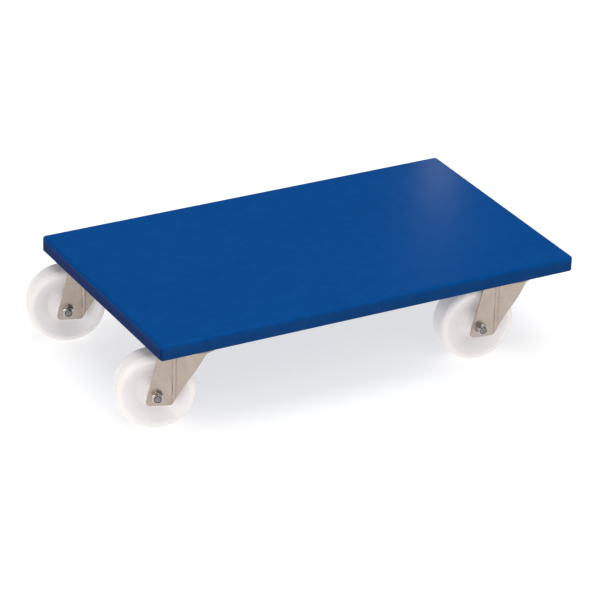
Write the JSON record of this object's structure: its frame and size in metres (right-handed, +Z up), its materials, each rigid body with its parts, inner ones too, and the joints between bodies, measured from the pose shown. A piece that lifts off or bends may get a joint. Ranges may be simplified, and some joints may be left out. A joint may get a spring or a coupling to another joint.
{
  "type": "platform trolley",
  "caption": "Low trolley for moving loads: a flat rectangular board on swivelling castors with solid white wheels.",
  "frame": {"origin": "centre of the board's top face", "axes": "+Z up and out of the load face; +X along the board's long side; -Y is the front, and the castors trail towards -X"},
  "size_m": [0.6107, 0.3441, 0.136],
  "materials": {
    "blue_board": "blue lacquered fibreboard, satin",
    "stainless_sheet": "satin stainless sheet",
    "bright_steel": "bright stainless fastener",
    "ball_steel": "polished hardened steel",
    "white_nylon": "milky white nylon, faintly translucent",
    "grey_plastic": "grey moulded plastic"
  },
  "bodies": {
    "platform": {"board": "blue_board", "front_left_mounting_plate": "stainless_sheet", "front_left_plate_screws": "bright_steel", "front_left_kingpin": "bright_steel", "front_left_kingpin_nut": "bright_steel", "front_left_lower_race": "stainless_sheet", "back_left_mounting_plate": "stainless_sheet", "back_left_plate_screws": "bright_steel", "back_left_kingpin": "bright_steel", "back_left_kingpin_nut": "bright_steel", "back_left_lower_race": "stainless_sheet", "front_right_mounting_plate": "stainless_sheet", "front_right_plate_screws": "bright_steel", "front_right_kingpin": "bright_steel", "front_right_kingpin_nut": "bright_steel", "front_right_lower_race": "stainless_sheet", "back_right_mounting_plate": "stainless_sheet", "back_right_plate_screws": "bright_steel", "back_right_kingpin": "bright_steel", "back_right_kingpin_nut": "bright_steel", "back_right_lower_race": "stainless_sheet"},
    "front_left_ball_rings": {"front_left_upper_balls": "ball_steel", "front_left_lower_balls": "ball_steel"},
    "front_left_swivel": {"front_left_fork": "stainless_sheet", "front_left_swivel_seal": "grey_plastic", "front_left_axle_bolt": "bright_steel", "front_left_axle_nut": "bright_steel", "front_left_axle_tube": "bright_steel"},
    "front_left_roller_cage": {"front_left_roller_bearing": "grey_plastic"},
    "front_left_rolling_wheel": {"front_left_wheel": "white_nylon"},
    "back_left_ball_rings": {"back_left_upper_balls": "ball_steel", "back_left_lower_balls": "ball_steel"},
    "back_left_swivel": {"back_left_fork": "stainless_sheet", "back_left_swivel_seal": "grey_plastic", "back_left_axle_bolt": "bright_steel", "back_left_axle_nut": "bright_steel", "back_left_axle_tube": "bright_steel"},
    "back_left_roller_cage": {"back_left_roller_bearing": "grey_plastic"},
    "back_left_rolling_wheel": {"back_left_wheel": "white_nylon"},
    "front_right_ball_rings": {"front_right_upper_balls": "ball_steel", "front_right_lower_balls": "ball_steel"},
    "front_right_swivel": {"front_right_fork": "stainless_sheet", "front_right_swivel_seal": "grey_plastic", "front_right_axle_bolt": "bright_steel", "front_right_axle_nut": "bright_steel", "front_right_axle_tube": "bright_steel"},
    "front_right_roller_cage": {"front_right_roller_bearing": "grey_plastic"},
    "front_right_rolling_wheel": {"front_right_wheel": "white_nylon"},
    "back_right_ball_rings": {"back_right_upper_balls": "ball_steel", "back_right_lower_balls": "ball_steel"},
    "back_right_swivel": {"back_right_fork": "stainless_sheet", "back_right_swivel_seal": "grey_plastic", "back_right_axle_bolt": "bright_steel", "back_right_axle_nut": "bright_steel", "back_right_axle_tube": "bright_steel"},
    "back_right_roller_cage": {"back_right_roller_bearing": "grey_plastic"},
    "back_right_rolling_wheel": {"back_right_wheel": "white_nylon"}
  },
  "joints": [
    {"name": "front_left_swivel_turn", "type": "hinge", "parent": "platform", "child": "front_left_swivel", "pos_m": [-0.2235, -0.128, -0.02], "axis": [0, 0, 1], "continuous": true},
    {"name": "front_left_wheel_spin", "type": "hinge", "parent": "front_left_swivel", "child": "front_left_rolling_wheel", "pos_m": [-0.26935, -0.11158, -0.086], "axis": [0.3371, 0.9415, 0], "continuous": true},
    {"name": "front_left_ball_rings_orbit", "type": "hinge", "parent": "platform", "child": "front_left_ball_rings", "pos_m": [-0.2235, -0.128, -0.02], "axis": [0, 0, 1], "continuous": true},
    {"name": "front_left_roller_cage_orbit", "type": "hinge", "parent": "front_left_swivel", "child": "front_left_roller_cage", "pos_m": [-0.26935, -0.11158, -0.086], "axis": [0.3371, 0.9415, 0], "continuous": true},
    {"name": "back_left_swivel_turn", "type": "hinge", "parent": "platform", "child": "back_left_swivel", "pos_m": [-0.2235, 0.128, -0.02], "axis": [0, 0, 1], "continuous": true},
    {"name": "back_left_wheel_spin", "type": "hinge", "parent": "back_left_swivel", "child": "back_left_rolling_wheel", "pos_m": [-0.26974, 0.14329, -0.086], "axis": [0.314, 0.9494, 0], "continuous": true},
    {"name": "back_left_ball_rings_orbit", "type": "hinge", "parent": "platform", "child": "back_left_ball_rings", "pos_m": [-0.2235, 0.128, -0.02], "axis": [0, 0, 1], "continuous": true},
    {"name": "back_left_roller_cage_orbit", "type": "hinge", "parent": "back_left_swivel", "child": "back_left_roller_cage", "pos_m": [-0.26974, 0.14329, -0.086], "axis": [0.314, 0.9494, 0], "continuous": true},
    {"name": "front_right_swivel_turn", "type": "hinge", "parent": "platform", "child": "front_right_swivel", "pos_m": [0.2235, -0.128, -0.02], "axis": [0, 0, 1], "continuous": true},
    {"name": "front_right_wheel_spin", "type": "hinge", "parent": "front_right_swivel", "child": "front_right_rolling_wheel", "pos_m": [0.17518, -0.1219, -0.086], "axis": [0.1253, 0.9921, 0], "continuous": true},
    {"name": "front_right_ball_rings_orbit", "type": "hinge", "parent": "platform", "child": "front_right_ball_rings", "pos_m": [0.2235, -0.128, -0.02], "axis": [0, 0, 1], "continuous": true},
    {"name": "front_right_roller_cage_orbit", "type": "hinge", "parent": "front_right_swivel", "child": "front_right_roller_cage", "pos_m": [0.17518, -0.1219, -0.086], "axis": [0.1253, 0.9921, 0], "continuous": true},
    {"name": "back_right_swivel_turn", "type": "hinge", "parent": "platform", "child": "back_right_swivel", "pos_m": [0.2235, 0.128, -0.02], "axis": [0, 0, 1], "continuous": true},
    {"name": "back_right_wheel_spin", "type": "hinge", "parent": "back_right_swivel", "child": "back_right_rolling_wheel", "pos_m": [0.17586, 0.13813, -0.086], "axis": [0.2079, 0.9781, 0], "continuous": true},
    {"name": "back_right_ball_rings_orbit", "type": "hinge", "parent": "platform", "child": "back_right_ball_rings", "pos_m": [0.2235, 0.128, -0.02], "axis": [0, 0, 1], "continuous": true},
    {"name": "back_right_roller_cage_orbit", "type": "hinge", "parent": "back_right_swivel", "child": "back_right_roller_cage", "pos_m": [0.17586, 0.13813, -0.086], "axis": [0.2079, 0.9781, 0], "continuous": true}
  ],
  "couplings": [
    {"joint": "front_left_ball_rings_orbit", "follows": "front_left_swivel_turn", "ratio": 0.5},
    {"joint": "front_left_roller_cage_orbit", "follows": "front_left_wheel_spin", "ratio": 0.61538},
    {"joint": "back_left_ball_rings_orbit", "follows": "back_left_swivel_turn", "ratio": 0.5},
    {"joint": "back_left_roller_cage_orbit", "follows": "back_left_wheel_spin", "ratio": 0.61538},
    {"joint": "front_right_ball_rings_orbit", "follows": "front_right_swivel_turn", "ratio": 0.5},
    {"joint": "front_right_roller_cage_orbit", "follows": "front_right_wheel_spin", "ratio": 0.61538},
    {"joint": "back_right_ball_rings_orbit", "follows": "back_right_swivel_turn", "ratio": 0.5},
    {"joint": "back_right_roller_cage_orbit", "follows": "back_right_wheel_spin", "ratio": 0.61538}
  ]
}
